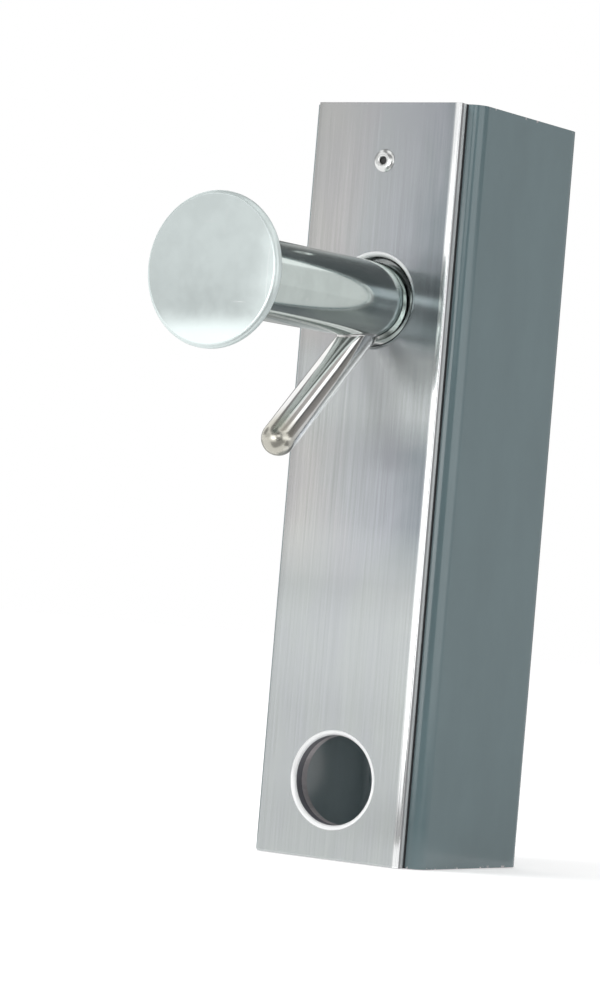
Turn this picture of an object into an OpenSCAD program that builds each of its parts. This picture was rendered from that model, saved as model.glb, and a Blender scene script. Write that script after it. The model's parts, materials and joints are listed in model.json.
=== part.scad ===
// Section of a square strength-rack upright with a brushed wear plate on its front
// and a removable round bar catch in its upper hole.
// +Z runs up the upright and the plate faces -Y. The origin is on the axis of the
// lower hole, in the plane where the wear plate lies on the tube. Millimetres.

/* [Upright] */
// Outside width of the square tube
tube_w = 63.5; // [55:0.5:90]
// Wall thickness of the tube
tube_wall = 3; // [2:0.1:4.5]
// Outside radius of the tube's corners
tube_corner_r = 5; // [4.6:0.1:8]
// Length of tube below the lower hole's centre
below_lower = 25; // [22:0.5:60]
// Length of tube above the upper hole's centre
above_upper = 63.5; // [55:0.5:120]
// Distance between the two catch holes
hole_pitch = 152.4; // [90:0.1:250]

/* [Wear plate] */
// Width of the plate
plate_w = 53.5; // [44:0.5:54]
// Thickness of the plate
plate_t = 4; // [3:0.1:6]
// Width of the roll-over along the plate's two long front edges
plate_roll_w = 2.3; // [1.5:0.1:4]
// Drop of the roll-over at the plate's sides
plate_roll_drop = 0.35; // [0.2:0.05:0.8]
// Radius between the roll-over and the plate's sides
plate_edge_r = 0.5; // [0.3:0.1:0.8]
// Diameter of the catch holes in the plate and the tube's front wall
hole_d = 28.5; // [27.5:0.1:36]
// Radius of the rounded lip round each hole in the plate
hole_lip_r = 1.4; // [0.5:0.1:2.5]
// Diameter of the catch holes in the tube's rear wall
rear_hole_d = 24; // [23:0.1:25]

/* [Rivet] */
// Height of the rivet above the upper hole's centre
rivet_above = 44.8; // [30:0.1:50]
// Diameter of the rivet's body
rivet_d = 4; // [3.2:0.1:5]
// Diameter of the rivet's domed head
rivet_head_d = 7.5; // [6.5:0.1:10]
// Height of the rivet's domed head
rivet_head_h = 1.3; // [0.8:0.1:2]
// Diameter of the rivet's mandrel
mandrel_d = 2.3; // [1.6:0.1:2.5]
// Depth of the broken mandrel below the top of the head
mandrel_break = 1; // [0.4:0.1:2]
// Diameter of the bulge behind the tube wall
rivet_bulge_d = 6; // [5.5:0.1:8]
// Length of the bulge behind the tube wall
rivet_bulge_l = 4; // [2.5:0.1:6]

/* [Catch] */
// Diameter of the horn that the bar rests on
horn_d = 25; // [24:0.1:27]
// Distance from the plate's face to the outer face of the end disc
horn_reach = 91; // [70:0.5:140]
// Depth of the horn's rear shoulder below the plate's face
shoulder_depth = 2.2; // [0.5:0.1:3]
// Chamfer on the horn's rear edge
shoulder_chamfer = 0.2; // [0.2:0.1:1.2]
// Diameter of the shank that passes through the tube
shank_d = 20; // [18:0.1:21]
// Diameter of the end disc
disc_d = 47.5; // [38:0.5:70]
// Thickness of the end disc
disc_t = 4.5; // [4:0.1:8]
// Radius along both edges of the end disc
disc_edge_r = 1.3; // [0.4:0.1:1.8]
// Diameter of the stud that joins the disc to the horn
stud_d = 10; // [6:0.5:14]
// Depth of the stud in the horn
stud_in_horn = 14; // [8:0.5:24]
// Depth of the stud in the disc
stud_in_disc = 3; // [2:0.1:3.2]

/* [Pull handle] */
// Diameter of the handle rod
handle_d = 10.8; // [9.5:0.1:13]
// Length of the handle from the horn's underside to its domed tip
handle_len = 57.5; // [40:0.5:75]
// Slope of the handle below the horn's axis
handle_slope = 42; // [38:1:50]
// Distance in front of the plate's face at which the handle's axis leaves the horn
handle_stand = 7.8; // [7:0.1:14]
// Diameter of the handle's tenon
tenon_d = 7; // [5:0.1:8]
// Depth of the handle's tenon below the horn's underside
tenon_len = 8; // [5:0.1:8.5]

/* [Bushes and fasteners] */
// Length of the front bush
bush_len = 14; // [9:0.5:24]
// Chamfer on the outer end of the front bush, which leads it into a hole
bush_lead = 2.4; // [0.5:0.1:2.5]
// Chamfer on the inner end of the front bush
bush_chamfer = 0.8; // [0.3:0.1:1.5]
// Diameter of the rear bush's flange
flange_d = 27; // [26:0.1:27.2]
// Thickness of the rear bush's flange
flange_t = 3; // [2:0.1:6]
// Length of the rear bush that stands out behind the tube
nose_proud = 0.5; // [0.2:0.1:2]
// Outside diameter of the retaining rings
ring_d = 26; // [24:0.1:27]
// Thickness of the retaining rings
ring_t = 1.2; // [1:0.1:2]
// Depth of the ring grooves in the shank
groove_depth = 0.7; // [0.4:0.1:1]
// Width of the gap in each retaining ring
ring_gap = 7; // [5:0.5:10]
// Diameter of the end washer
washer_d = 22.5; // [21.5:0.1:22.8]
// Thickness of the end washer
washer_t = 1.6; // [1:0.1:3]
// Diameter of the end screw
screw_d = 6; // [5:0.5:8]
// Length of the end screw in the shank
screw_len = 16; // [10:0.5:25]
// Diameter of the end screw's button head
screw_head_d = 10.5; // [10:0.1:14]
// Height of the end screw's button head
screw_head_h = 3.3; // [2.8:0.1:5]
// Width across the flats of the end screw's hexagon socket
socket_af = 4; // [3:0.5:5]
// Depth of the end screw's hexagon socket
socket_depth = 2; // [1:0.1:2.4]

/* [Clearances] */
// Radial clearance of the bushes in their holes
slide_gap = 0.1; // [0.05:0.01:0.2]
// Radial clearance of the shank in the bushes
turn_gap = 0.05; // [0.03:0.01:0.1]
// Axial float between the bushes and the rings and washer that hold them
end_float = 0.1; // [0.05:0.01:0.3]
// Radial clearance of the fixed fasteners and the tenon in their holes
seat_gap = 0.05; // [0.02:0.01:0.1]

/* [Hidden] */
$fn = 96;
// Overshoot of a cut past the face it opens
cut = 1;

section_len = below_lower + hole_pitch + above_upper;
hole_heights = [0, hole_pitch];
rivet_z = hole_pitch + rivet_above;

plate_y = -plate_t;
rear_in_y = tube_w - tube_wall;
disc_out_y = plate_y - horn_reach;
disc_in_y = disc_out_y + disc_t;
shoulder_y = plate_y + shoulder_depth;
bush_end_y = shoulder_y + bush_len;
flange_y = rear_in_y - flange_t;
shank_end_y = tube_w + nose_proud + end_float;
washer_end_y = shank_end_y + washer_t;
front_ring_y = bush_end_y + end_float;
rear_ring_y = flange_y - end_float - ring_t;
groove_d = shank_d - 2 * groove_depth;

stainless = [0.72, 0.73, 0.74];
chrome = [0.82, 0.84, 0.86];
paint = [0.40, 0.46, 0.48];
black_nylon = [0.08, 0.08, 0.09];
bright_zinc = [0.70, 0.70, 0.68];
dark_steel = [0.30, 0.31, 0.31];

// Turns the Z axis of its children to +Y
module along_y() {
    rotate([-90, 0, 0]) children();
}

// Round bar along Y between two stations
module y_bar(d, from_y, to_y) {
    translate([0, from_y, 0]) along_y() cylinder(d = d, h = to_y - from_y);
}

// Lifts its children to the axis of the upper hole
module on_catch_axis() {
    translate([0, 0, hole_pitch]) children();
}

// Square outline with rounded corners, centred
module rounded_square(w, r) {
    inner = w - 2 * r;
    square([w, inner], center = true);
    square([inner, w], center = true);
    for (sx = [-1, 1], sy = [-1, 1])
        translate([sx * inner / 2, sy * inner / 2]) circle(r = r);
}

// Low dome of revolution standing on the XY plane
module dome(d, h) {
    cap_r = (d * d / 4 + h * h) / (2 * h);
    rotate_extrude() intersection() {
        translate([0, h - cap_r]) circle(r = cap_r);
        square([d / 2, h]);
    }
}

module upright_tube() {
    color(paint) difference() {
        translate([0, tube_w / 2, -below_lower]) linear_extrude(height = section_len) difference() {
            rounded_square(tube_w, tube_corner_r);
            rounded_square(tube_w - 2 * tube_wall, tube_corner_r - tube_wall);
        }
        for (z = hole_heights) translate([0, 0, z]) {
            y_bar(hole_d, -cut, tube_wall + cut);
            y_bar(rear_hole_d, rear_in_y - cut, tube_w + cut);
        }
        translate([0, 0, rivet_z]) y_bar(rivet_d + 2 * seat_gap, -cut, tube_wall + cut);
    }
}

// Plate outline in plan: square at the back, its front edges rolled over as a shear leaves them
module plate_outline() {
    flat_w = plate_w - 2 * plate_roll_w;
    roll_r = (pow(plate_roll_w, 2) + pow(plate_roll_drop, 2)) / (2 * plate_roll_drop);
    corner_x = plate_roll_w - plate_edge_r;
    corner_rise = sqrt(pow(roll_r - plate_edge_r, 2) - pow(corner_x, 2));
    corner_y = roll_r - corner_rise - plate_t;
    meet_x = corner_x * roll_r / (roll_r - plate_edge_r);
    translate([-flat_w / 2, -plate_t]) square([flat_w, plate_t]);
    for (side = [0, 1]) mirror([side, 0]) translate([flat_w / 2, 0]) {
        intersection() {
            translate([0, -plate_t]) square([meet_x, plate_t]);
            translate([0, roll_r - plate_t]) circle(r = roll_r);
        }
        translate([0, corner_y]) square([plate_roll_w, -corner_y]);
        translate([corner_x, corner_y]) circle(r = plate_edge_r);
    }
}

// Cutter for a catch hole in the plate, flared by the rounded lip at its mouth
module lipped_hole() {
    mouth_r = hole_d / 2 + hole_lip_r;
    y_bar(hole_d, plate_y - cut, cut);
    translate([0, plate_y, 0]) along_y() rotate_extrude() difference() {
        translate([0, -cut]) square([mouth_r, cut + hole_lip_r]);
        translate([mouth_r, hole_lip_r]) circle(r = hole_lip_r);
    }
}

module wear_plate() {
    color(stainless) difference() {
        translate([0, 0, -below_lower]) linear_extrude(height = section_len) plate_outline();
        for (z = hole_heights) translate([0, 0, z]) lipped_hole();
        translate([0, 0, rivet_z]) y_bar(rivet_d + 2 * seat_gap, plate_y - cut, cut);
    }
}

module rivet_shell() {
    bulge_end_y = tube_wall + rivet_bulge_l;
    color(bright_zinc) translate([0, 0, rivet_z]) difference() {
        union() {
            translate([0, plate_y, 0]) rotate([90, 0, 0]) dome(rivet_head_d, rivet_head_h);
            y_bar(rivet_d, plate_y, bulge_end_y);
            y_bar(rivet_bulge_d, tube_wall, bulge_end_y - rivet_bulge_l / 4);
            translate([0, bulge_end_y - rivet_bulge_l / 4, 0]) along_y()
                cylinder(d1 = rivet_bulge_d, d2 = rivet_d, h = rivet_bulge_l / 4);
        }
        y_bar(mandrel_d + 2 * seat_gap, plate_y - rivet_head_h - cut, bulge_end_y + cut);
    }
}

module rivet_mandrel() {
    bulge_end_y = tube_wall + rivet_bulge_l;
    tail_d = (rivet_d + mandrel_d) / 2;
    color(dark_steel) translate([0, 0, rivet_z]) {
        y_bar(mandrel_d, plate_y - rivet_head_h + mandrel_break, bulge_end_y + tail_d / 4);
        translate([0, bulge_end_y, 0]) along_y() dome(tail_d, tail_d / 2);
    }
}

module hole_bush() {
    bush_d = hole_d - 2 * slide_gap;
    color(dark_steel) on_catch_axis() difference() {
        union() {
            translate([0, shoulder_y, 0]) along_y()
                cylinder(d1 = bush_d - 2 * bush_lead, d2 = bush_d, h = bush_lead);
            y_bar(bush_d, shoulder_y + bush_lead, bush_end_y - bush_chamfer);
            translate([0, bush_end_y - bush_chamfer, 0]) along_y()
                cylinder(d1 = bush_d, d2 = bush_d - 2 * bush_chamfer, h = bush_chamfer);
        }
        y_bar(shank_d + 2 * turn_gap, shoulder_y - cut, bush_end_y + cut);
    }
}

module rear_bush() {
    nose_end_y = tube_w + nose_proud;
    color(black_nylon) on_catch_axis() difference() {
        union() {
            y_bar(flange_d, flange_y, rear_in_y);
            y_bar(rear_hole_d - 2 * slide_gap, flange_y, nose_end_y);
        }
        y_bar(shank_d + 2 * turn_gap, flange_y - cut, nose_end_y + cut);
    }
}

// Puts its children on the handle's axis, with Z running down it from the horn's underside
module on_handle_axis() {
    translate([0, plate_y - handle_stand, -horn_d / 2]) rotate([90 + handle_slope, 0, 0]) children();
}

// Groove for a retaining ring in the shank
module ring_groove(from_y) {
    difference() {
        y_bar(shank_d + cut, from_y, from_y + ring_t);
        y_bar(groove_d, from_y - cut, from_y + ring_t + cut);
    }
}

module catch_bar() {
    horn_r = horn_d / 2;
    horn_len = shoulder_y - disc_in_y;
    color(chrome) on_catch_axis() difference() {
        union() {
            translate([0, disc_in_y, 0]) along_y() rotate_extrude() polygon([
                [0, 0], [horn_r, 0], [horn_r, horn_len - shoulder_chamfer],
                [horn_r - shoulder_chamfer, horn_len], [0, horn_len],
            ]);
            y_bar(shank_d, shoulder_y - shank_d / 2, shank_end_y);
        }
        y_bar(stud_d + 2 * seat_gap, disc_in_y - cut, disc_in_y + stud_in_horn);
        y_bar(screw_d + 2 * seat_gap, shank_end_y - screw_len, shank_end_y + cut);
        ring_groove(front_ring_y);
        ring_groove(rear_ring_y);
        on_handle_axis() translate([0, 0, -tenon_len])
            cylinder(d = tenon_d + 2 * seat_gap, h = tenon_len + horn_d / 2);
    }
}

module end_disc() {
    disc_r = disc_d / 2;
    color(chrome) on_catch_axis() difference() {
        translate([0, disc_out_y, 0]) along_y() rotate_extrude() {
            square([disc_r - disc_edge_r, disc_t]);
            translate([0, disc_edge_r]) square([disc_r, disc_t - 2 * disc_edge_r]);
            for (h = [disc_edge_r, disc_t - disc_edge_r])
                translate([disc_r - disc_edge_r, h]) circle(r = disc_edge_r);
        }
        y_bar(stud_d + 2 * seat_gap, disc_in_y - stud_in_disc, disc_in_y + cut);
    }
}

module disc_stud() {
    color(bright_zinc) on_catch_axis()
        y_bar(stud_d, disc_in_y - stud_in_disc, disc_in_y + stud_in_horn);
}

module pull_handle() {
    handle_r = handle_d / 2;
    color(chrome) on_catch_axis() {
        difference() {
            on_handle_axis() {
                translate([0, 0, -tenon_len]) cylinder(r = handle_r, h = tenon_len + handle_len - handle_r);
                translate([0, 0, handle_len - handle_r]) sphere(r = handle_r);
            }
            y_bar(horn_d, disc_in_y, shoulder_y + horn_d);
        }
        on_handle_axis() translate([0, 0, -tenon_len]) cylinder(d = tenon_d, h = tenon_len + handle_r);
    }
}

// Open ring that snaps into a shank groove, with its gap at the bottom
module retaining_ring(from_y) {
    difference() {
        y_bar(ring_d, from_y, from_y + ring_t);
        y_bar(groove_d + 2 * seat_gap, from_y - cut, from_y + ring_t + cut);
        translate([-ring_gap / 2, from_y - cut, -ring_d]) cube([ring_gap, ring_t + 2 * cut, ring_d]);
    }
}

module retaining_rings() {
    color(dark_steel) on_catch_axis() {
        retaining_ring(front_ring_y);
        retaining_ring(rear_ring_y);
    }
}

module end_washer() {
    color(bright_zinc) on_catch_axis() difference() {
        y_bar(washer_d, shank_end_y, washer_end_y);
        y_bar(screw_d + 2 * seat_gap, shank_end_y - cut, washer_end_y + cut);
    }
}

module end_screw() {
    socket_d = socket_af / cos(30);
    color(bright_zinc) on_catch_axis() {
        y_bar(screw_d, shank_end_y - screw_len, washer_end_y);
        translate([0, washer_end_y, 0]) along_y() difference() {
            dome(screw_head_d, screw_head_h);
            translate([0, 0, screw_head_h - socket_depth])
                cylinder(d = socket_d, h = socket_depth + cut, $fn = 6);
        }
    }
}

upright_tube();
wear_plate();
rivet_shell();
rivet_mandrel();
hole_bush();
rear_bush();
catch_bar();
end_disc();
disc_stud();
pull_handle();
retaining_rings();
end_washer();
end_screw();
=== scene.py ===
"""Looks for a section of a square strength-rack upright with a removable round bar catch.

The part's frame is used as it is, in metres: +Z runs up the upright, the wear plate faces -Y
and the origin is on the axis of the lower hole.
"""

import json
import math

import bmesh
import bpy
from mathutils import Matrix, Vector

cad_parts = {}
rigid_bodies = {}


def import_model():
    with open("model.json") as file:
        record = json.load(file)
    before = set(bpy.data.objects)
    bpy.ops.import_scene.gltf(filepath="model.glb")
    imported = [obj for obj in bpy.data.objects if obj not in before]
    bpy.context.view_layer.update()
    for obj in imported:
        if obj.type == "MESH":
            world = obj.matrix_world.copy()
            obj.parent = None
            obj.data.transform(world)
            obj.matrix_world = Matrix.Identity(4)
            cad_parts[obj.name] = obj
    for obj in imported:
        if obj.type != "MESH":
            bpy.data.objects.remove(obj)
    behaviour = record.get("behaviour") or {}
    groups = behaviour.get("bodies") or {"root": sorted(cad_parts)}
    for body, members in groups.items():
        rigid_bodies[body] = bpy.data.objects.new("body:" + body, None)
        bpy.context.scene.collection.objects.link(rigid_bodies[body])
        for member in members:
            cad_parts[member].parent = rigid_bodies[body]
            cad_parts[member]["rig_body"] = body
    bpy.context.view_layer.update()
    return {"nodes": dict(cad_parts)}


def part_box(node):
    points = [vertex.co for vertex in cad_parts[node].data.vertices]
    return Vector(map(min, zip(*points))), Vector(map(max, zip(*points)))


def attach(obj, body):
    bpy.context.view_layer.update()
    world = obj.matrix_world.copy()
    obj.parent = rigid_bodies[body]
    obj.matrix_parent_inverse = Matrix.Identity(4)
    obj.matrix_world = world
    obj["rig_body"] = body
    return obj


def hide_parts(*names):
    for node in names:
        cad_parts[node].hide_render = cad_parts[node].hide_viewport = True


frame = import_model()
nodes = frame["nodes"]

# The frame's own plain materials carry the names of the record's slots
slot_of_node = {name: piece.material_slots[0].material.name for name, piece in nodes.items()}
for plain in list(bpy.data.materials):
    bpy.data.materials.remove(plain)

MM = 0.001

# Sizes that the frame gives
tube_low, tube_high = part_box("upright_tube")
plate_low, plate_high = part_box("wear_plate")
disc_low, disc_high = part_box("end_disc")
bush_low, bush_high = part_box("hole_bush")
handle_low, handle_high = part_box("pull_handle")
rivet_low, rivet_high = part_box("rivet_shell")
bar_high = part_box("catch_bar")[1]
mandrel_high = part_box("rivet_mandrel")[1]

FLOOR_Z = tube_low.z
PLATE_FACE_Y = plate_low.y
LOWER_HOLE_Z = 0.0
CATCH_AXIS_Z = (disc_low.z + disc_high.z) / 2
RIVET_AXIS_Z = (rivet_low.z + rivet_high.z) / 2
HORN_R = bar_high.x
SHOULDER_Y = bush_low.y

# Sizes that no box of the frame shows
TUBE_WALL = 3 * MM
HOLE_CLEARANCE = 0.1 * MM
HOLE_R = bush_high.x + HOLE_CLEARANCE
HOLE_LIP_R = 1.4 * MM
REAR_HOLE_R = 12 * MM
SHANK_R = 10 * MM
BORE_CLEARANCE = 0.05 * MM
BUSH_BORE_R = SHANK_R + BORE_CLEARANCE
BUSH_MOUTH_Y = PLATE_FACE_Y + HOLE_LIP_R
PLATE_ROLL_W = 2.3 * MM
DISC_EDGE_R = 1.3 * MM
HANDLE_SLOPE = math.radians(42)
HANDLE_STAND = 7.8 * MM

# Camera
IMAGE_LONG_SIDE = 1000
SENSOR_MM = 36.0
FOCAL_PIXELS = 3859.1
CAMERA_AZIMUTH = math.radians(33.69)
CAMERA_ELEVATION = math.radians(-1.21)
CAMERA_ROLL = math.radians(4.86)
CAMERA_DISTANCE = 1.2366
CAMERA_TARGET = Vector((-22.04, -2.75, 87.82)) * MM
CAMERA_NEAR = 0.05
CAMERA_FAR = 50


def make_camera():
    """Camera at the photograph's viewing angle, rolled as the photograph is."""
    back = Vector((
        math.sin(CAMERA_AZIMUTH) * math.cos(CAMERA_ELEVATION),
        -math.cos(CAMERA_AZIMUTH) * math.cos(CAMERA_ELEVATION),
        math.sin(CAMERA_ELEVATION),
    ))
    level = Vector((math.cos(CAMERA_AZIMUTH), math.sin(CAMERA_AZIMUTH), 0))
    upright = back.cross(level)
    across = level * math.cos(CAMERA_ROLL) + upright * math.sin(CAMERA_ROLL)
    up = upright * math.cos(CAMERA_ROLL) - level * math.sin(CAMERA_ROLL)
    data = bpy.data.cameras.new("camera")
    data.sensor_width = SENSOR_MM
    data.lens = FOCAL_PIXELS * SENSOR_MM / IMAGE_LONG_SIDE
    data.clip_start = CAMERA_NEAR
    data.clip_end = CAMERA_FAR
    camera = add_object("camera", data)
    turn = Matrix((across, up, back)).transposed().to_4x4()
    camera.matrix_world = Matrix.Translation(CAMERA_TARGET + back * CAMERA_DISTANCE) @ turn
    bpy.context.scene.camera = camera


# Mesh making

SEGMENTS = 144
POINT_R = 1e-7
# How far the middle of a rounded corner lies from the corner, along both its sides, as a share of the ease
ROUND_MIDDLE = 0.3


def add_object(name, data):
    made = bpy.data.objects.new(name, data)
    bpy.context.scene.collection.objects.link(made)
    return made


def finish_mesh(name, bm, sharp_degrees=40):
    """Turns a bmesh into an object with smooth faces and sharp true edges."""
    bmesh.ops.recalc_face_normals(bm, faces=bm.faces)
    mesh = bpy.data.meshes.new(name)
    bm.to_mesh(mesh)
    bm.free()
    for face in mesh.polygons:
        face.use_smooth = True
    mesh.set_sharp_from_angle(angle=math.radians(sharp_degrees))
    return add_object(name, mesh)


def arc(centre_r, centre_t, radius, from_degrees, to_degrees, steps=8):
    """Points of a profile on a circular arc, as (radius, station) pairs."""
    points = []
    for i in range(steps + 1):
        a = math.radians(from_degrees + (to_degrees - from_degrees) * i / steps)
        points.append((centre_r + radius * math.cos(a), centre_t + radius * math.sin(a)))
    return points


def segment_angle(i):
    return 2 * math.pi * i / SEGMENTS


def skin(bm, rings):
    """Faces between neighbouring rings of points. A ring of one point closes an end."""
    for one, two in zip(rings, rings[1:]):
        for i in range(SEGMENTS):
            j = (i + 1) % SEGMENTS
            corners = [one[i % len(one)], one[j % len(one)], two[j % len(two)], two[i % len(two)]]
            distinct = list(dict.fromkeys(corners))
            if len(distinct) > 2:
                bm.faces.new(distinct)


def turn_ring(bm, radius, station, to_frame, sides=0):
    """Ring of points about the local Z axis, round or with a number of flat sides."""
    if radius < POINT_R:
        return [bm.verts.new(to_frame @ Vector((0, 0, station)))]
    ring = []
    for i in range(SEGMENTS):
        a = segment_angle(i)
        r = radius
        if sides:
            side = 2 * math.pi / sides
            r = radius / math.cos(a % side - side / 2)
        ring.append(bm.verts.new(to_frame @ Vector((r * math.cos(a), r * math.sin(a), station))))
    return ring


def lathe(bm, profile, to_frame, closed=False):
    """Turns a profile of (radius, station) pairs about the local Z axis."""
    rings = [turn_ring(bm, radius, station, to_frame) for radius, station in profile]
    skin(bm, rings + rings[:1] if closed else rings)


def eased(corners, ease):
    """Closed profile of (radius, station) corners with each corner rounded over a small ease."""
    points = []
    for i, corner in enumerate(corners):
        here = Vector(corner)
        before = (Vector(corners[i - 1]) - here).normalized()
        after = (Vector(corners[(i + 1) % len(corners)]) - here).normalized()
        middle = here + (before + after) * ease * ROUND_MIDDLE
        points += [tuple(here + before * ease), tuple(middle), tuple(here + after * ease)]
    return points


def along_y(height):
    """Local Z axis turned to +Y, on a line at that height above the origin."""
    return Matrix.Translation((0, 0, height)) @ Matrix.Rotation(-math.pi / 2, 4, "X")


ON_CATCH_AXIS = along_y(CATCH_AXIS_Z)


def make_end_disc():
    """Slightly crowned disc with rounded edges."""
    crown = 1.0 * MM
    face_steps = 12
    face_meets_edge = -80
    back_meets_edge = 88
    back_margin = 0.2 * MM
    flat_r = disc_high.x - DISC_EDGE_R
    profile = []
    for i in range(face_steps + 1):
        share = i / face_steps
        profile.append((flat_r * share, disc_low.y + crown * share ** 2))
    profile += arc(flat_r, disc_low.y + crown + DISC_EDGE_R, DISC_EDGE_R, face_meets_edge, 0)
    profile += arc(flat_r, disc_high.y - DISC_EDGE_R, DISC_EDGE_R, 0, back_meets_edge)
    for r in (flat_r - back_margin, HORN_R / 2, 0):
        profile.append((r, disc_high.y))
    bm = bmesh.new()
    lathe(bm, profile, ON_CATCH_AXIS)
    return finish_mesh("catch_end_disc", bm)


def make_catch_bar():
    """Horn with eased edges, and the shank behind it with its two ring grooves."""
    ease = 0.3 * MM
    ease_margin = 0.4 * MM
    groove_r = SHANK_R - 0.7 * MM
    groove_w = 1.2 * MM
    end_ease = 0.6 * MM
    ring_low, ring_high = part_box("retaining_rings")
    profile = [(0, disc_high.y), (HORN_R - ease, disc_high.y), (HORN_R, disc_high.y + ease)]
    profile += [(HORN_R, SHOULDER_Y - ease - ease_margin)]
    profile += arc(HORN_R - ease, SHOULDER_Y - ease, ease, 0, 90)
    profile += [(SHANK_R, SHOULDER_Y)]
    for groove_from in (ring_low.y, ring_high.y - groove_w):
        groove_to = groove_from + groove_w
        profile += [(SHANK_R, groove_from), (groove_r, groove_from)]
        profile += [(groove_r, groove_to), (SHANK_R, groove_to)]
    profile += [(SHANK_R, bar_high.y - end_ease), (SHANK_R - end_ease, bar_high.y), (0, bar_high.y)]
    bm = bmesh.new()
    lathe(bm, profile, ON_CATCH_AXIS)
    return finish_mesh("catch_bar_turned", bm)


def make_pull_handle():
    """Rod with a domed tip, joined to the horn's underside by a small fillet."""
    radius = handle_high.x
    fillet = 0.9 * MM
    fillet_steps = 8
    rod_shares = (0.35, 0.7, 1)
    dome_steps = 14
    sunk_depth = 0.5 * MM
    end_depth = 2 * MM
    root = Vector((0, PLATE_FACE_Y - HANDLE_STAND, CATCH_AXIS_Z - HORN_R))
    down = Vector((0, -math.cos(HANDLE_SLOPE), -math.sin(HANDLE_SLOPE)))
    side = Vector((1, 0, 0))
    front = side.cross(down)
    length = (root.y - handle_low.y - radius) / math.cos(HANDLE_SLOPE) + radius
    dome_from = length - radius
    axis_point = Vector((0, 0, CATCH_AXIS_Z))
    outs = []
    for i in range(SEGMENTS):
        a = segment_angle(i)
        outs.append(side * math.cos(a) + front * math.sin(a))
    bm = bmesh.new()

    def meet_horn(offset):
        """Station down the rod at which a line at that offset leaves the horn."""
        start = root + offset - axis_point
        a = down.z ** 2
        b = start.z * down.z
        c = start.x ** 2 + start.z ** 2 - HORN_R ** 2
        return (-b + math.sqrt(max(b * b - a * c, 0))) / a

    def ring_of(points):
        return [bm.verts.new(point) for point in points]

    roots, seats, sunk = [], [], []
    for out in outs:
        corner = root + out * radius + down * meet_horn(out * radius)
        spread = corner + out * fillet
        from_axis = Vector((spread.x, 0, spread.z - CATCH_AXIS_Z)).normalized()
        seat = Vector((0, spread.y, CATCH_AXIS_Z)) + from_axis * HORN_R
        roots.append(corner)
        seats.append(seat)
        sunk.append(seat - from_axis * sunk_depth)
    rings = [ring_of([root - down * end_depth]), ring_of(sunk)]
    for s in range(fillet_steps + 1):
        t = s / fillet_steps
        points = []
        for corner, seat in zip(roots, seats):
            end = corner + down * fillet
            points.append(seat * (1 - t) ** 2 + corner * 2 * t * (1 - t) + end * t ** 2)
        rings.append(ring_of(points))
    for share in rod_shares:
        points = []
        for corner, out in zip(roots, outs):
            begin = (corner - root).dot(down) + fillet
            points.append(root + out * radius + down * (begin + (dome_from - begin) * share))
        rings.append(ring_of(points))
    for s in range(1, dome_steps):
        lean = math.pi / 2 * s / dome_steps
        centre = root + down * (dome_from + radius * math.sin(lean))
        rings.append(ring_of([centre + out * radius * math.cos(lean) for out in outs]))
    rings.append(ring_of([root + down * length]))
    skin(bm, rings)
    return finish_mesh("catch_pull_handle", bm)


def make_rivet_head():
    """Domed rivet head with a rounded mouth, on a hollow body with a bulged blind end."""
    head = PLATE_FACE_Y - rivet_low.y
    mouth_r = 0.8 * mandrel_high.x
    mouth_round = 0.45 * MM
    mouth_steps = 6
    mouth_meets_dome = 262
    dome_steps = 16
    body_r = 2 * MM
    bulge_r = 3 * MM
    bulge_from = tube_low.y + TUBE_WALL
    # The bulge's rounded end, as (share of its radius, distance from the end) pairs
    bulge_end = [(1.0, 1.2 * MM), (0.8, 0.3 * MM), (0.6, 0.0)]
    profile = [(mouth_r, rivet_high.y), (mouth_r, rivet_low.y + mouth_round)]
    profile += arc(mouth_r + mouth_round, rivet_low.y + mouth_round, mouth_round,
                   180, mouth_meets_dome, mouth_steps)
    dome_from = profile[-1][0]
    for i in range(1, dome_steps + 1):
        a = math.pi / 2 * i / dome_steps
        r = dome_from + (rivet_high.x - dome_from) * math.sin(a)
        profile.append((r, rivet_low.y + head * (1 - math.cos(a))))
    profile += [(body_r, PLATE_FACE_Y), (body_r, bulge_from), (bulge_r, bulge_from)]
    for share, from_end in bulge_end:
        profile.append((bulge_r * share, rivet_high.y - from_end))
    bm = bmesh.new()
    lathe(bm, profile, along_y(RIVET_AXIS_Z), closed=True)
    return finish_mesh("rivet_head", bm)


def make_hole_bush():
    """Front bush with a dished mouth, which the bar has worn high, round a deep recess."""
    outer_r = bush_high.x
    seat_r = 11.7 * MM
    recess_y = bush_low.y + 2.3 * MM
    mouth_r = 13.15 * MM
    mouth_worn = 0.62 * MM
    mouth_ease_r = 0.05 * MM
    mouth_ease_y = 0.1 * MM
    dish = 0.5 * MM
    rim_ease = 0.04 * MM
    inner_chamfer = 0.8 * MM
    bore = [(BUSH_BORE_R, bush_high.y), (BUSH_BORE_R, bush_low.y), (seat_r, bush_low.y), (seat_r, recess_y)]
    mouth = [(mouth_r, recess_y), (mouth_r, BUSH_MOUTH_Y + mouth_ease_y),
             (mouth_r + mouth_ease_r, BUSH_MOUTH_Y)]
    outside = [(outer_r - rim_ease, BUSH_MOUTH_Y - dish), (outer_r, BUSH_MOUTH_Y),
               (outer_r, bush_high.y - inner_chamfer), (outer_r - inner_chamfer, bush_high.y)]
    worn_axis = ON_CATCH_AXIS @ Matrix.Translation((0, -mouth_worn, 0))
    bm = bmesh.new()
    rings = []
    for profile, axis in ((bore, ON_CATCH_AXIS), (mouth, worn_axis), (outside, ON_CATCH_AXIS)):
        for radius, station in profile:
            rings.append(turn_ring(bm, radius, station, axis))
    skin(bm, rings + rings[:1])
    return finish_mesh("hole_bush_turned", bm, sharp_degrees=30)


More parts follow.
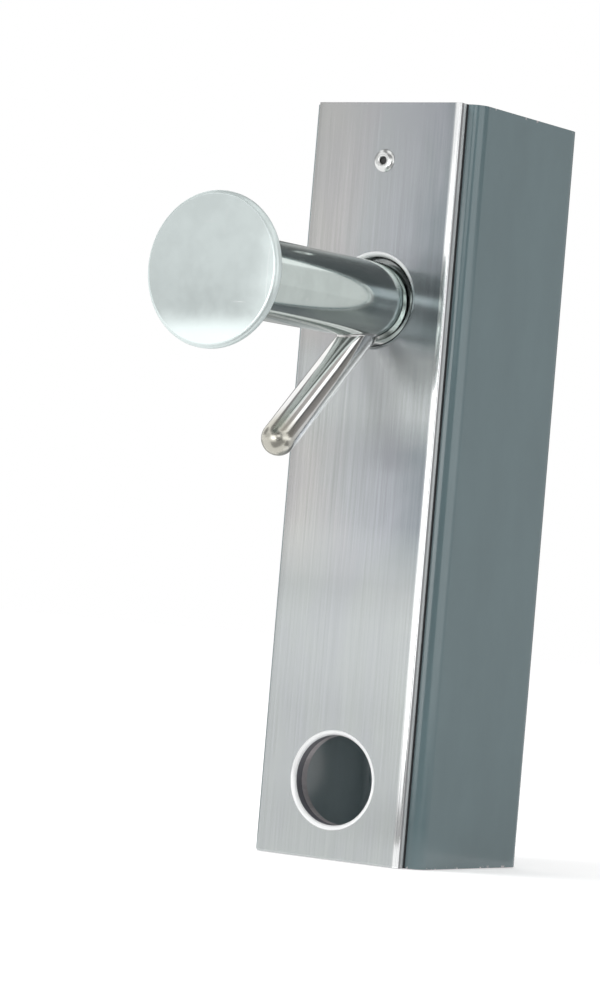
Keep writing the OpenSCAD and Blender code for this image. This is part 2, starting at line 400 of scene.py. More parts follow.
def make_end_washer():
    """Flat ring with eased edges."""
    low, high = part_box("end_washer")
    hole_r = 3.2 * MM
    ease = 0.25 * MM
    corners = [(hole_r, low.y), (hole_r, high.y), (high.x, high.y), (high.x, low.y)]
    bm = bmesh.new()
    lathe(bm, eased(corners, ease), ON_CATCH_AXIS, closed=True)
    return finish_mesh("end_washer_pressed", bm)


def make_rear_bush():
    """Flanged bush with eased edges."""
    low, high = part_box("rear_bush")
    nose_r = 11.9 * MM
    ease = 0.3 * MM
    seat_y = tube_high.y - TUBE_WALL
    corners = [(BUSH_BORE_R, low.y), (BUSH_BORE_R, high.y), (nose_r, high.y), (nose_r, seat_y),
               (high.x, seat_y), (high.x, low.y)]
    bm = bmesh.new()
    lathe(bm, eased(corners, ease), ON_CATCH_AXIS, closed=True)
    return finish_mesh("rear_bush_moulded", bm)


def make_end_screw():
    """Button-head screw with a hexagon socket."""
    low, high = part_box("end_screw")
    washer_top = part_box("end_washer")[1].y
    thread_r = 3 * MM
    thread_ease = 0.6 * MM
    head_r = high.x
    head_ease = 0.2 * MM
    dome_from = washer_top + 0.25 * MM
    dome_steps = 10
    top_r = 0.58 * head_r
    mouth_r = 2.55 * MM
    mouth_depth = 0.25 * MM
    socket_r = 2 * MM
    socket_floor = high.y - 2 * MM
    drill_point = 0.5 * MM
    profile = [(0, low.y), (thread_r - thread_ease, low.y), (thread_r, low.y + thread_ease)]
    profile += [(thread_r, washer_top), (head_r - head_ease, washer_top), (head_r, dome_from)]
    for i in range(1, dome_steps + 1):
        a = math.pi / 2 * i / dome_steps
        r = top_r + (head_r - top_r) * math.cos(a)
        profile.append((r, dome_from + (high.y - dome_from) * math.sin(a)))
    profile.append((mouth_r, high.y))
    bm = bmesh.new()
    rings = [turn_ring(bm, radius, station, ON_CATCH_AXIS) for radius, station in profile]
    for station in (high.y - mouth_depth, socket_floor):
        rings.append(turn_ring(bm, socket_r, station, ON_CATCH_AXIS, sides=6))
    rings.append(turn_ring(bm, 0, socket_floor - drill_point, ON_CATCH_AXIS))
    skin(bm, rings)
    return finish_mesh("end_screw_button", bm, sharp_degrees=30)


# Materials

# Most of a noise lies between these values
NOISE_LOW = 0.3
NOISE_HIGH = 0.7


def new_material(name):
    material = bpy.data.materials.new(name)
    material.use_nodes = True
    tree = material.node_tree
    return material, tree, tree.nodes["Principled BSDF"]


def link(tree, source, target):
    tree.links.new(source, target)


def socket_of(sockets, identifier):
    """The socket with that identifier, where several share a name."""
    return next(socket for socket in sockets if socket.identifier == identifier)


def own_coordinates(tree):
    """The piece's own coordinates, which are the part's."""
    return tree.nodes.new("ShaderNodeTexCoord").outputs["Object"]


def frame_axes(tree):
    """The part's own x, y and z as separate values."""
    split = tree.nodes.new("ShaderNodeSeparateXYZ")
    link(tree, own_coordinates(tree), split.inputs["Vector"])
    return split.outputs["X"], split.outputs["Y"], split.outputs["Z"]


def noise(tree, grains, detail=3.0, roughness=0.55, distortion=0.0):
    """Noise with its own number of grains per metre along each axis."""
    mapping = tree.nodes.new("ShaderNodeMapping")
    mapping.inputs["Scale"].default_value = grains
    link(tree, own_coordinates(tree), mapping.inputs["Vector"])
    node = tree.nodes.new("ShaderNodeTexNoise")
    node.inputs["Scale"].default_value = 1.0
    node.inputs["Detail"].default_value = detail
    node.inputs["Roughness"].default_value = roughness
    node.inputs["Distortion"].default_value = distortion
    link(tree, mapping.outputs["Vector"], node.inputs["Vector"])
    return node.outputs["Fac"]


def ramp(tree, value, stops):
    """Colour ramp over a value, from (position, colour) stops."""
    node = tree.nodes.new("ShaderNodeValToRGB")
    elements = node.color_ramp.elements
    while len(elements) < len(stops):
        elements.new(0.5)
    for element, (position, colour) in zip(elements, stops):
        element.position = position
        element.color = (*colour, 1)
    link(tree, value, node.inputs["Fac"])
    return node.outputs["Color"]


def shaded(tree, value, shades):
    """Colour from a dark to a light shade, over a noise."""
    dark, light = shades
    return ramp(tree, value, [(NOISE_LOW, dark), (NOISE_HIGH, light)])


def remap(tree, value, low, high, from_low=NOISE_LOW, from_high=NOISE_HIGH):
    """A value from one range, by default a noise's, brought to another and held within it."""
    node = tree.nodes.new("ShaderNodeMapRange")
    node.inputs["From Min"].default_value = from_low
    node.inputs["From Max"].default_value = from_high
    node.inputs["To Min"].default_value = low
    node.inputs["To Max"].default_value = high
    link(tree, value, node.inputs["Value"])
    return node.outputs["Result"]


def mix_colour(tree, factor, one, two, kind="MIX"):
    """Two colours mixed by a factor. Each of the three is a constant or a socket."""
    node = tree.nodes.new("ShaderNodeMix")
    node.data_type = "RGBA"
    node.blend_type = kind
    if isinstance(factor, float):
        node.inputs["Factor"].default_value = factor
    else:
        link(tree, factor, node.inputs["Factor"])
    for identifier, colour in (("A_Color", one), ("B_Color", two)):
        socket = socket_of(node.inputs, identifier)
        if isinstance(colour, tuple):
            socket.default_value = (*colour, 1)
        else:
            link(tree, colour, socket)
    return socket_of(node.outputs, "Result_Color")


def tinted(tree, one, two):
    """One colour multiplied by another."""
    return mix_colour(tree, 1.0, one, two, "MULTIPLY")


def bump(tree, shader, height, strength, distance):
    node = tree.nodes.new("ShaderNodeBump")
    node.inputs["Strength"].default_value = strength
    node.inputs["Distance"].default_value = distance
    link(tree, height, node.inputs["Height"])
    link(tree, node.outputs["Normal"], shader.inputs["Normal"])


def maths(tree, operation, one, two=0):
    """One operation on one or two values, each a number or a socket."""
    node = tree.nodes.new("ShaderNodeMath")
    node.operation = operation
    for socket, value in zip(node.inputs, (one, two)):
        if isinstance(value, (int, float)):
            socket.default_value = value
        else:
            link(tree, value, socket)
    return node.outputs["Value"]


def both(tree, one, two):
    return maths(tree, "MULTIPLY", one, two)


def either(tree, one, two):
    return maths(tree, "MAXIMUM", one, two)


def strongest(tree, weighed):
    """The largest of several masks, from (mask, weight) pairs."""
    found = 0
    for mask, weight in weighed:
        found = either(tree, found, maths(tree, "MULTIPLY", mask, weight))
    return found


def within(tree, coordinate, low, high):
    """One where a coordinate lies between two values, zero elsewhere."""
    away = maths(tree, "ABSOLUTE", maths(tree, "SUBTRACT", coordinate, (low + high) / 2))
    return maths(tree, "LESS_THAN", away, (high - low) / 2)


def axis_distance(tree, x, z, height):
    """Distance from the line along y at that height."""
    rise = maths(tree, "SUBTRACT", z, height)
    squares = maths(tree, "ADD", maths(tree, "MULTIPLY", x, x), maths(tree, "MULTIPLY", rise, rise))
    return maths(tree, "SQRT", squares)


def near_holes(tree, x, z, full_r, clear_r):
    """One within a radius of either hole's axis, fading to zero at a larger radius."""
    rings = []
    for height in (LOWER_HOLE_Z, CATCH_AXIS_Z):
        rings.append(remap(tree, axis_distance(tree, x, z, height), 1, 0, full_r, clear_r))
    return either(tree, *rings)


def near_ends(tree, z, depth, fade):
    """One on the sawn ends, fading to zero along the part."""
    top = remap(tree, z, 0, 1, tube_high.z - depth - fade, tube_high.z - depth)
    bottom = remap(tree, z, 1, 0, tube_low.z + depth, tube_low.z + depth + fade)
    return either(tree, top, bottom)


SAW_CUT_DEPTH = 0.02 * MM
# Shade painted dark along the joint between the plate and the tube, where the gap lies in shadow
JOINT_DEPTH = 0.8 * MM
JOINT_WIDTH = 0.5 * MM
JOINT_SHADE_COLOUR = (0.030, 0.033, 0.036)


def painted_steel():
    """Blue-grey satin powder coat with a faint orange-peel, primed inside, bare at its holes and ends."""
    material, tree, shader = new_material("blue_grey_paint")
    x, y, z = frame_axes(tree)
    coat = ((0.105, 0.164, 0.178), (0.115, 0.179, 0.194))
    primer = ((0.45, 0.53, 0.55), (0.55, 0.64, 0.66))
    steel = ((0.50, 0.465, 0.475), (0.63, 0.59, 0.60))
    coat_roughness = (0.13, 0.18)
    bare_roughness = 0.16
    bare_metallic = 0.5
    skin_depth = 0.9 * TUBE_WALL
    cut_full = 0.15 * MM
    cut_clear = 0.3 * MM
    cut_margin = 0.2 * MM
    chip_depth = 0.3 * MM
    chip_fade = 0.6 * MM
    chips_from = 0.6
    joint_y = 0.1 * MM
    inside = both(tree, within(tree, x, tube_low.x + skin_depth, tube_high.x - skin_depth),
                  within(tree, y, tube_low.y + skin_depth, tube_high.y - skin_depth))
    tone = noise(tree, (60, 60, 25), detail=4)
    painted = mix_colour(tree, inside, shaded(tree, tone, coat), shaded(tree, tone, primer))
    front_cut = both(tree, near_holes(tree, x, z, HOLE_R + cut_full, HOLE_R + cut_clear),
                     within(tree, y, tube_low.y - MM, tube_low.y + TUBE_WALL + cut_margin))
    rear_cut = both(tree, near_holes(tree, x, z, REAR_HOLE_R + cut_full, REAR_HOLE_R + cut_clear),
                    within(tree, y, tube_high.y - TUBE_WALL - cut_margin, tube_high.y + MM))
    sawn = near_ends(tree, z, SAW_CUT_DEPTH, SAW_CUT_DEPTH)
    flakes = noise(tree, (420, 420, 420), detail=5, roughness=0.65)
    chipped = both(tree, near_ends(tree, z, chip_depth, chip_fade),
                   maths(tree, "GREATER_THAN", flakes, chips_from))
    bare = either(tree, either(tree, front_cut, rear_cut), either(tree, sawn, chipped))
    # Painted shade: the paint is darkened beside the plate's edge, where the gap lies in shadow
    joint = both(tree, maths(tree, "LESS_THAN", y, joint_y),
                 remap(tree, maths(tree, "ABSOLUTE", x), 1, 0,
                       plate_high.x + JOINT_WIDTH / 2, plate_high.x + JOINT_WIDTH))
    grain = noise(tree, (2400, 260, 260))
    clean = mix_colour(tree, bare, painted, shaded(tree, grain, steel))
    link(tree, mix_colour(tree, joint, clean, JOINT_SHADE_COLOUR), shader.inputs["Base Color"])
    link(tree, maths(tree, "MULTIPLY", bare, bare_metallic), shader.inputs["Metallic"])
    gloss = remap(tree, noise(tree, (300, 300, 300)), *coat_roughness)
    dulled = maths(tree, "MULTIPLY", bare, bare_roughness)
    link(tree, maths(tree, "ADD", gloss, dulled), shader.inputs["Roughness"])
    shader.inputs["Specular IOR Level"].default_value = 0.85
    bump(tree, shader, noise(tree, (700, 700, 700), detail=1), strength=0.06, distance=0.1 * MM)
    return material


# Reflections painted on the plate, lighter and darker by height, as (height in mm, tone) pairs
PAINTED_REFLECTION_BY_HEIGHT = [
    (0, 0.98), (22, 0.84), (50, 0.84), (63, 0.78), (71, 0.86), (79, 1.02), (96, 0.98),
    (110, 1.0), (120, 1.09), (133, 1.09), (141, 1.0),
]
PAINTED_REFLECTION_RED = 0.95
# How far the painted shade takes the painted reflection's place, as (height in mm, share) pairs
PAINTED_SHADE_SHARE_BY_HEIGHT = [
    (60, 0.0), (82, 1.0), (104, 1.0), (116, 0.25), (134, 0.25), (141, 1.0), (178, 1.0), (194, 0.8),
]
# Painted shade, which darkens the plate towards its right edge, as (share of the width, colour) pairs
PAINTED_SHADE_BY_WIDTH = [
    (0.2, (1.0, 0.995, 0.985)), (0.48, (0.88, 0.92, 0.95)),
    (0.72, (0.77, 0.81, 0.86)), (0.92, (0.55, 0.61, 0.65)),
]


def plate_face(tree, x, z, streaks):
    """Colour of the plate's brushed face, with faint stains, and reflections and shade painted on by height
    and by side.
    """
    brushed = ((0.515, 0.517, 0.517), (0.586, 0.588, 0.588))
    stains = [(0.35, (0.955, 0.945, 0.965)), (0.65, (1.0, 1.0, 0.985))]
    unevenness = 0.12
    mottles = noise(tree, (48, 48, 20), distortion=0.6)
    stained = tinted(tree, shaded(tree, streaks, brushed), ramp(tree, mottles, stains))
    across = maths(tree, "ADD", remap(tree, x, 0, 1, plate_low.x, plate_high.x),
                   remap(tree, mottles, -unevenness, unevenness))
    up = remap(tree, z, 0, 1, 0, plate_high.z)
    reflection_stops = []
    for height, tone in PAINTED_REFLECTION_BY_HEIGHT:
        reflection_stops.append((height * MM / plate_high.z, (PAINTED_REFLECTION_RED * tone, tone, tone)))
    shade_share_stops = []
    for height, share in PAINTED_SHADE_SHARE_BY_HEIGHT:
        shade_share_stops.append((height * MM / plate_high.z, (share, share, share)))
    painted_shade = ramp(tree, across, PAINTED_SHADE_BY_WIDTH)
    painted_reflection_and_shade = mix_colour(tree, ramp(tree, up, shade_share_stops), ramp(tree, up, reflection_stops), painted_shade)
    return tinted(tree, stained, painted_reflection_and_shade)


def brushed_stainless():
    """Stainless plate brushed along its length, with highlights painted on its right edge and hole lips,
    and shade painted in its bore and along its joint with the tube.
    """
    material, tree, shader = new_material("brushed_stainless")
    x, y, z = frame_axes(tree)
    edge_highlight_stops = [(0.36, (0.60, 0.62, 0.63)), (0.56, (0.93, 0.94, 0.94))]
    lip_highlight_colour = (0.97, 0.98, 0.98)
    torn_colour = (0.34, 0.34, 0.35)
    sawn_colour = (0.42, 0.41, 0.42)
    bore_shade_colour = (0.15, 0.15, 0.17)
    torn_from = -3.3 * MM
    torn_to = -2.2 * MM
    edge_full = 0.7 * PLATE_ROLL_W
    side_skin = 0.02 * MM
    joint_skin = 0.2 * MM
    lip_full = 0.9 * HOLE_LIP_R
    lip_clear = 1.2 * HOLE_LIP_R
    bright_from = CATCH_AXIS_Z + 4 * MM
    bright_full = CATCH_AXIS_Z + 11 * MM
    bore_from = 0.8 * HOLE_LIP_R
    bore_full = 0.02 * MM
    bore_clear = 0.06 * MM
    face_roughness = (0.19, 0.25)
    edge_ironed = 0.09
    # Across the brushing, and a little into the plate so that it holds on the rolled edges too
    across = (1.0, 0.3)
    streaks = noise(tree, (1500, 1500, 14), detail=6, roughness=0.7)
    from_middle = maths(tree, "ABSOLUTE", x)
    # Painted highlight: the rolled right edge is made lighter, on the right side only
    edge = remap(tree, x, 0, 1, plate_high.x - PLATE_ROLL_W, plate_high.x - edge_full)
    side = maths(tree, "GREATER_THAN", from_middle, plate_high.x - side_skin)
    torn = both(tree, side, within(tree, y, torn_from, torn_to))
    # Painted highlight on the hole lips: the lower hole's lip all round, and the upper one's above the horn
    # alone
    bright_round = maths(tree, "LESS_THAN", z, CATCH_AXIS_Z / 2)
    bright_above = remap(tree, z, 0, 1, bright_from, bright_full)
    lip = both(tree, near_holes(tree, x, z, HOLE_R + lip_full, HOLE_R + lip_clear),
               either(tree, bright_round, bright_above))
    # Painted shade: the hole's bore is dark, as it lies in shadow
    in_hole = both(tree, near_holes(tree, x, z, HOLE_R + bore_full, HOLE_R + bore_clear),
                   within(tree, y, PLATE_FACE_Y + bore_from, MM))
    # Painted shade: the plate's side is darkened next to the tube, where the gap lies in shadow
    joint = both(tree, within(tree, y, -JOINT_DEPTH, MM),
                 maths(tree, "GREATER_THAN", from_middle, plate_high.x - joint_skin))
    # The sawn ends are dull, and the bore holds the painted shade
    dull = either(tree, near_ends(tree, z, SAW_CUT_DEPTH, SAW_CUT_DEPTH), in_hole)
    colour = mix_colour(tree, edge, plate_face(tree, x, z, streaks), ramp(tree, streaks, edge_highlight_stops))
    colour = mix_colour(tree, lip, colour, lip_highlight_colour)
    colour = mix_colour(tree, torn, colour, torn_colour)
    colour = mix_colour(tree, dull, colour, mix_colour(tree, in_hole, sawn_colour, bore_shade_colour))
    link(tree, mix_colour(tree, joint, colour, JOINT_SHADE_COLOUR), shader.inputs["Base Color"])
    matt = strongest(tree, [(side, 0.6), (lip, 0.72), (joint, 0.9)])
    link(tree, maths(tree, "SUBTRACT", 1.0, matt), shader.inputs["Metallic"])
    worked = strongest(tree, [(torn, 0.2), (lip, 0.16), (dull, 0.16), (joint, 0.4)])
    rough = maths(tree, "ADD", remap(tree, streaks, *face_roughness), worked)
    ironed = maths(tree, "MULTIPLY", edge, edge_ironed)
    link(tree, maths(tree, "SUBTRACT", rough, ironed), shader.inputs["Roughness"])
    shader.inputs["Anisotropic"].default_value = 0.95
    tangent = tree.nodes.new("ShaderNodeCombineXYZ")
    tangent.inputs["X"].default_value = across[0]
    tangent.inputs["Y"].default_value = across[1]
    link(tree, tangent.outputs["Vector"], shader.inputs["Tangent"])
    bump(tree, shader, streaks, strength=0.04, distance=0.03 * MM)
    return material


# How dark the painted shade under the horn and behind the disc is, as a share of the tint
SHADE_SHARE = 0.62


def darkened(tint, share):
    return tuple(share * part for part in tint)


def chrome(name, tint, roughness, smeared=0.93, shaded_under=False, turned_from=None, darker_tip=False):
    """Bright chrome plate with smears and scratches.

    It may have painted shade under the horn, be dull from a radius out with painted shade behind, or be
    darker, yellower and rougher at the rod's tip.
    """
    material, tree, shader = new_material(name)
    x, y, z = frame_axes(tree)
    scratched = (0.92, 0.93, 0.93)
    scratches_from = 0.72
    scratch_cover = 0.35
    scratch_roughness = 0.06
    shade_under_full = CATCH_AXIS_Z - 0.88 * HORN_R
    shade_under_clear = CATCH_AXIS_Z - 0.7 * HORN_R
    turned_roughness = 0.36
    turned_fade = 0.4 * MM
    # Colour the rod takes towards its tip: darker and yellower
    worn = (0.58, 0.565, 0.50)
    tip_roughness = 0.14
    tip_full = handle_low.y + 3 * MM
    tip_clear = handle_low.y + 9 * MM
    smears = noise(tree, (110, 110, 110), detail=5, roughness=0.6)
    long_marks = noise(tree, (900, 900, 30), detail=2, distortion=0.4)
    cross_marks = noise(tree, (40, 700, 1000), detail=2, distortion=0.4)
    scratches = maths(tree, "GREATER_THAN", either(tree, long_marks, cross_marks), scratches_from)
    plated = ramp(tree, smears, [(0.38, darkened(tint, smeared)), (0.62, tint)])
    polish = maths(tree, "ADD", remap(tree, smears, *roughness),
                   maths(tree, "MULTIPLY", scratches, scratch_roughness))
    if shaded_under:
        # Painted shade on the horn's underside
        under = remap(tree, z, 1, 0, shade_under_full, shade_under_clear)
        plated = mix_colour(tree, under, plated, darkened(tint, SHADE_SHARE))
    if turned_from is not None:
        # Painted shade on the disc's back, which faces the plate
        behind = remap(tree, y, 0, 1, disc_high.y - DISC_EDGE_R, disc_high.y - DISC_EDGE_R / 2)
        plated = mix_colour(tree, behind, plated, darkened(tint, SHADE_SHARE))
        rim = remap(tree, axis_distance(tree, x, z, CATCH_AXIS_Z), 0, turned_roughness,
                    turned_from, turned_from + turned_fade)
        polish = maths(tree, "ADD", polish, rim)
    if darker_tip:
        # The rod turns darker, yellower and rougher towards its tip
        tip = remap(tree, y, 1, 0, tip_full, tip_clear)
        plated = mix_colour(tree, tip, plated, worn)
        polish = maths(tree, "ADD", polish, maths(tree, "MULTIPLY", tip, tip_roughness))
    marked = mix_colour(tree, maths(tree, "MULTIPLY", scratches, scratch_cover), plated, scratched)
    link(tree, marked, shader.inputs["Base Color"])
    shader.inputs["Metallic"].default_value = 1.0
    link(tree, polish, shader.inputs["Roughness"])
    bump(tree, shader, long_marks, strength=0.02, distance=0.02 * MM)
    return material


def black_nylon():
    """Black moulded nylon with a fine grained skin."""
    material, tree, shader = new_material("black_nylon")
    nylon = ((0.010, 0.010, 0.011), (0.020, 0.020, 0.021))
    tone = noise(tree, (400, 400, 400))
    link(tree, shaded(tree, tone, nylon), shader.inputs["Base Color"])
    link(tree, remap(tree, tone, 0.42, 0.58), shader.inputs["Roughness"])
    bump(tree, shader, noise(tree, (1800, 1800, 1800), detail=2), strength=0.15, distance=0.1 * MM)
    return material


def steel_lit_at_mouth():
    """Grey steel painted lighter round the bush's mouth and darker deeper in, as light at the mouth and
    shade in the recess.
    """
    material, tree, shader = new_material("dark_steel_lit_at_mouth")
    y = frame_axes(tree)[1]
    grey = ((0.40, 0.42, 0.42), (0.47, 0.49, 0.49))
    bright = ((0.62, 0.63, 0.63), (0.68, 0.69, 0.69))
    lit_full = BUSH_MOUTH_Y + 0.02 * MM
    lit_clear = BUSH_MOUTH_Y + 0.08 * MM
    grain = noise(tree, (900, 2600, 900))
    # Painted light at the mouth, painted shade deeper in
    mouth = remap(tree, y, 1, 0, lit_full, lit_clear)
    mouth_light_and_shade = mix_colour(tree, mouth, shaded(tree, grain, grey), shaded(tree, grain, bright))
    link(tree, mouth_light_and_shade, shader.inputs["Base Color"])
    shader.inputs["Metallic"].default_value = 1.0
    link(tree, remap(tree, grain, 0.18, 0.26), shader.inputs["Roughness"])
    return material


def plain_metal(name, shades, roughness):
    """Turned or pressed metal with a fine uneven finish."""
    material, tree, shader = new_material(name)
    grain = noise(tree, (2600, 2600, 2600))
    link(tree, shaded(tree, grain, shades), shader.inputs["Base Color"])
    shader.inputs["Metallic"].default_value = 1.0
    link(tree, remap(tree, grain, *roughness), shader.inputs["Roughness"])
    bump(tree, shader, grain, strength=0.03, distance=0.03 * MM)
    return material


MATERIALS = {
    "blue_grey_paint": painted_steel(),
    "brushed_stainless": brushed_stainless(),
    "chrome": chrome("chrome", (0.75, 0.83, 0.80), (0.08, 0.12), shaded_under=True),
    "satin_chrome": chrome("satin_chrome", (0.835, 0.92, 0.91), (0.09, 0.14), smeared=0.94,
                           turned_from=disc_high.x - DISC_EDGE_R),
    "black_nylon": black_nylon(),
    "rivet_aluminium": plain_metal("rivet_aluminium", ((0.80, 0.81, 0.80), (0.86, 0.87, 0.86)),
                                   (0.20, 0.26)),
    "dark_steel": plain_metal("dark_steel", ((0.06, 0.06, 0.06), (0.10, 0.10, 0.10)), (0.35, 0.45)),
    "zinc_steel": plain_metal("zinc_steel", ((0.64, 0.66, 0.65), (0.72, 0.74, 0.73)), (0.24, 0.32)),
}
ROD_CHROME = chrome("chrome_rod", (0.83, 0.825, 0.815), (0.09, 0.13), darker_tip=True)
MOUTH_STEEL = steel_lit_at_mouth()


def dress(piece, finish):
    piece.data.materials.clear()
    piece.data.materials.append(finish)


for node_name, node_object in nodes.items():
    dress(node_object, MATERIALS[slot_of_node[node_name]])


def stand_for(piece, node_name, finish=None):
    """A modelled piece takes a node's place, body and slot, and its finish unless it has its own."""
    dress(piece, finish or MATERIALS[slot_of_node[node_name]])
    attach(piece, nodes[node_name]["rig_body"])
    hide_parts(node_name)


stand_for(make_end_disc(), "end_disc")
stand_for(make_catch_bar(), "catch_bar")
stand_for(make_pull_handle(), "pull_handle", ROD_CHROME)
stand_for(make_rivet_head(), "rivet_shell")
stand_for(make_hole_bush(), "hole_bush", MOUTH_STEEL)
stand_for(make_end_washer(), "end_washer")
stand_for(make_rear_bush(), "rear_bush")
stand_for(make_end_screw(), "end_screw")


# Stage

SQUARE = [(-1, -1), (1, -1), (1, 1), (-1, 1)]
WHITE = (1, 1, 1, 1)
BLACK = (0, 0, 0, 1)
FLOOR_REACH = 4.0
FLOOR_GAP = 0.2 * MM
FLOOR_COLOUR = (0.86, 0.86, 0.86, 1)
FLOOR_LIFT = 0.36
FLOOR_ROUGHNESS = 0.9
WORLD_LIGHT = 0.75
KEY_LAMP_PLACE = Vector((-0.7, -1.1, 1.3))
KEY_LAMP_SIZE = 0.7
KEY_LAMP_POWER = 14


def seen_rays(tree):
    """One for the rays that show a surface: from the camera, off metal or through glass."""
    path = tree.nodes.new("ShaderNodeLightPath")
    mirrored = either(tree, path.outputs["Is Glossy Ray"], path.outputs["Is Transmission Ray"])
    return either(tree, path.outputs["Is Camera Ray"], mirrored)


def make_floor():
    """Pale floor just under the part, lifted to white for the rays that show it."""
    bm = bmesh.new()
    places = [(x * FLOOR_REACH, y * FLOOR_REACH, FLOOR_Z - FLOOR_GAP) for x, y in SQUARE]
    bm.faces.new([bm.verts.new(place) for place in places])
    floor = finish_mesh("floor", bm)
    material, tree, shader = new_material("floor_white")
    shader.inputs["Base Color"].default_value = FLOOR_COLOUR
    shader.inputs["Roughness"].default_value = FLOOR_ROUGHNESS
    shader.inputs["Emission Color"].default_value = WHITE
    lift = maths(tree, "MULTIPLY", seen_rays(tree), FLOOR_LIFT)
    link(tree, lift, shader.inputs["Emission Strength"])
    dress(floor, material)


def make_world():
    """Even light on the object, and a white background for the camera and the metal."""
    world = bpy.data.worlds.new("studio")
    bpy.context.scene.world = world
    world.use_nodes = True
    tree = world.node_tree
    light = tree.nodes["Background"]
    light.inputs["Color"].default_value = WHITE
    light.inputs["Strength"].default_value = WORLD_LIGHT
    white = tree.nodes.new("ShaderNodeBackground")
    white.inputs["Color"].default_value = WHITE
    white.inputs["Strength"].default_value = 1.0
    mix = tree.nodes.new("ShaderNodeMixShader")
    link(tree, seen_rays(tree), mix.inputs["Fac"])
    link(tree, light.outputs["Background"], socket_of(mix.inputs, "Shader"))
    link(tree, white.outputs["Background"], socket_of(mix.inputs, "Shader_001"))
    link(tree, mix.outputs["Shader"], tree.nodes["World Output"].inputs["Surface"])


def make_lamp(name, place, aim, size, power):
    """Round lamp that lights the object and isn't mirrored in it."""
    data = bpy.data.lights.new(name, "AREA")
    data.shape = "DISK"
    data.size = size
    data.energy = power
    lamp = add_object(name, data)
    lamp.location = place
    lamp.rotation_mode = "QUATERNION"
    lamp.rotation_quaternion = (aim - place).to_track_quat("-Z", "Y")
    lamp.visible_glossy = False


CARD_DISTANCE = 1.5
STRIP_DISTANCE = 1.35
CARD_CENTRE = Vector((0, -0.03, 0.12))
NEUTRAL = (1.0, 1.0, 1.0)
WARM = (1.0, 0.965, 0.93)
# Cards and soft boxes round the set that only reflections see: heading from the front in degrees,
# positive towards +X, width in degrees, (height above the horizon, grey level) from the lower to the
# upper edge, distance, colour and the width of the soft edge in degrees
CARDS = [
    ("front_left", -44, 42, ((-16, 1.28), (-2.1, 1.28), (-0.8, 0.64), (2, 0.61), (6, 0.72), (22, 0.73)),
     CARD_DISTANCE, NEUTRAL, 3),
    ("front_box", -1.5, 35, ((-6, 2.6), (10, 2.6)), STRIP_DISTANCE, NEUTRAL, 2),
    ("front_flag", 12, 64, ((15, 0.20), (46, 0.18)), CARD_DISTANCE, NEUTRAL, 6),
    ("front_right_flag", 31.5, 31, ((-11, 0.27), (17, 0.27)), CARD_DISTANCE, NEUTRAL, 2),
    ("front_strip", 33.5, 24, ((4, 1.8), (22, 1.8)), STRIP_DISTANCE, NEUTRAL, 5),
    ("side_flag", 52, 14, ((-30, 0.30), (30, 0.30)), CARD_DISTANCE, NEUTRAL, 2),
    ("right_box", 88, 58, ((-14, 1.6), (14, 1.6)), CARD_DISTANCE, NEUTRAL, 3),
    ("back_right_card", 148, 46, ((-32, 0.68), (28, 0.66)), CARD_DISTANCE, NEUTRAL, 2),
    ("back_left_flag", 207, 70, ((-13, 0.20), (37, 0.20)), CARD_DISTANCE, NEUTRAL, 4),
    ("high_right_grey", 121, 39, ((6, 0.32), (31, 0.18)), STRIP_DISTANCE, WARM, 2),
    ("high_right_dark", 117, 50, ((29, 0.07), (38, 0.07)), STRIP_DISTANCE, NEUTRAL, 2),
    ("high_right_strip", 109, 56, ((38, 1.5), (52, 1.5)), STRIP_DISTANCE, NEUTRAL, 2),
    ("top_right_flag", 98, 60, ((50, 0.42), (70, 0.50)), STRIP_DISTANCE, WARM, 2),
    ("left_box", -105, 80, ((15, 1.15), (56, 1.15)), CARD_DISTANCE, NEUTRAL, 3),
    ("left_flag", -78, 34, ((8, 0.35), (40, 0.35)), STRIP_DISTANCE, NEUTRAL, 4),
    ("left_top_flag", -100, 110, ((54, 0.25), (82, 0.25)), CARD_DISTANCE, NEUTRAL, 3),
]
# Cards on the floor that only reflections see: corners in millimetres, grey level at the front and at
# the back, and layer
FLOOR_CARDS = [
    ("floor_front", ((-1200, -1300), (430, -1300), (430, -8), (-1200, -8)), 0.98, 0.98, 1),
    ("floor_reflector", ((-330, -1300), (400, -1300), (240, -790), (-200, -790)), 3.4, 3.4, 2),
    ("floor_near", ((-140, -330), (800, -330), (800, -110), (-24, -110)), 0.40, 0.34, 2),
    ("floor_front_right", ((420, -1300), (1500, -1300), (800, -330), (95, -330)), 0.26, 0.22, 2),
    ("floor_right", ((150, -75), (800, -75), (800, 75), (150, 75)), 0.24, 0.24, 2),
    ("floor_back_right", ((45, 75), (1400, 75), (1400, 1600), (45, 1600)), 0.62, 0.62, 1),
    ("floor_back_left", ((-1500, 30), (-45, 30), (-45, 1600), (-1500, 1600)), 0.55, 0.62, 1),
]
FLOOR_LAYER = 0.1 * MM


def share_along(tree, direction, low, high):
    """How far a point lies from a low to a high value along a direction, from zero to one."""
    along = tree.nodes.new("ShaderNodeVectorMath")
    along.operation = "DOT_PRODUCT"
    link(tree, own_coordinates(tree), socket_of(along.inputs, "Vector"))
    socket_of(along.inputs, "Vector_001").default_value = direction
    return remap(tree, along.outputs["Value"], 0, 1, low, high)


def soft_edges(tree, share, soft):
    """One in the middle of a card, falling to zero over a share of its width at both edges."""
    away = maths(tree, "ABSOLUTE", maths(tree, "SUBTRACT", share, 0.5))
    return remap(tree, away, 1, 0, 0.5 - soft, 0.5)


def make_card(name, corners, colour):
    """A card that reflections alone see, with an unlit face that its light is added to."""
    bm = bmesh.new()
    bm.faces.new([bm.verts.new(corner) for corner in corners])
    card = finish_mesh(name, bm)
    material, tree, shader = new_material(name)
    shader.inputs["Base Color"].default_value = BLACK
    shader.inputs["Specular IOR Level"].default_value = 0
    shader.inputs["Emission Color"].default_value = (*colour, 1)
    dress(card, material)
    card.visible_camera = False
    card.visible_diffuse = False
    card.visible_transmission = False
    card.visible_shadow = False
    return tree, shader


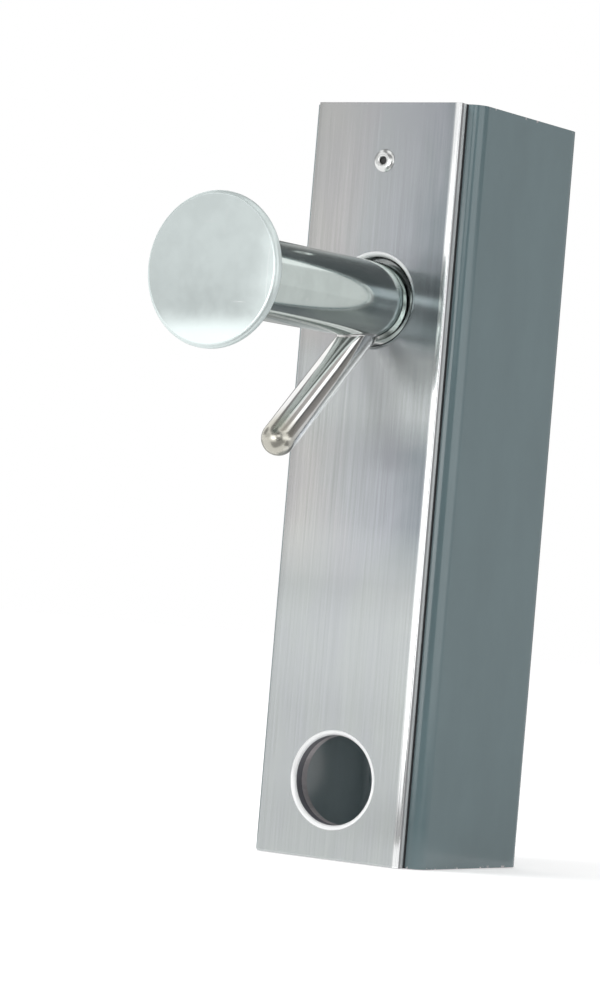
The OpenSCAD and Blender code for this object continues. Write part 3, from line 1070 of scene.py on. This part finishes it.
def make_round_card(name, heading, wide, levels, distance, colour, soft):
    """A card on the sphere round the set, square to its middle."""
    lowest = levels[0][0]
    highest = levels[-1][0]
    middle_height = (lowest + highest) / 2
    h = math.radians(heading)
    e = math.radians(middle_height)
    out = Vector((math.sin(h) * math.cos(e), -math.cos(h) * math.cos(e), math.sin(e)))
    across = Vector((math.cos(h), math.sin(h), 0))
    up = across.cross(out)
    up = up if up.z > 0 else -up
    middle = CARD_CENTRE + out * distance
    half_wide = distance * math.tan(math.radians(wide / 2))
    half_tall = distance * math.tan(math.radians((highest - lowest) / 2))
    corners = [middle + across * half_wide * x + up * half_tall * y for x, y in SQUARE]
    tree, shader = make_card(name, corners, colour)
    up_share = share_along(tree, up, middle.dot(up) - half_tall, middle.dot(up) + half_tall)
    side_share = share_along(tree, across, middle.dot(across) - half_wide, middle.dot(across) + half_wide)
    brightest = max(level for height, level in levels)
    stops = []
    for height, level in levels:
        rise = distance * math.tan(math.radians(height - middle_height))
        stops.append(((rise / half_tall + 1) / 2, (level / brightest,) * 3))
    strength = maths(tree, "MULTIPLY", ramp(tree, up_share, stops), brightest)
    link(tree, strength, shader.inputs["Emission Strength"])
    cover = both(tree, soft_edges(tree, up_share, soft / (highest - lowest)),
                 soft_edges(tree, side_share, soft / wide))
    link(tree, cover, shader.inputs["Alpha"])


def make_floor_card(name, corners, front_level, back_level, layer):
    """A card just above the floor, in a layer of its own where cards overlap."""
    places = [Vector((x * MM, y * MM, FLOOR_Z + layer * FLOOR_LAYER)) for x, y in corners]
    tree, shader = make_card(name, places, NEUTRAL)
    back = Vector((0, 1, 0))
    share = share_along(tree, back, min(place.y for place in places), max(place.y for place in places))
    link(tree, remap(tree, share, front_level, back_level, 0, 1), shader.inputs["Emission Strength"])


make_camera()
make_world()
make_floor()
for card in CARDS:
    make_round_card(*card)
for card in FLOOR_CARDS:
    make_floor_card(*card)
make_lamp("key_lamp", KEY_LAMP_PLACE, CARD_CENTRE, KEY_LAMP_SIZE, KEY_LAMP_POWER)

bpy.context.scene.view_settings.view_transform = "Standard"
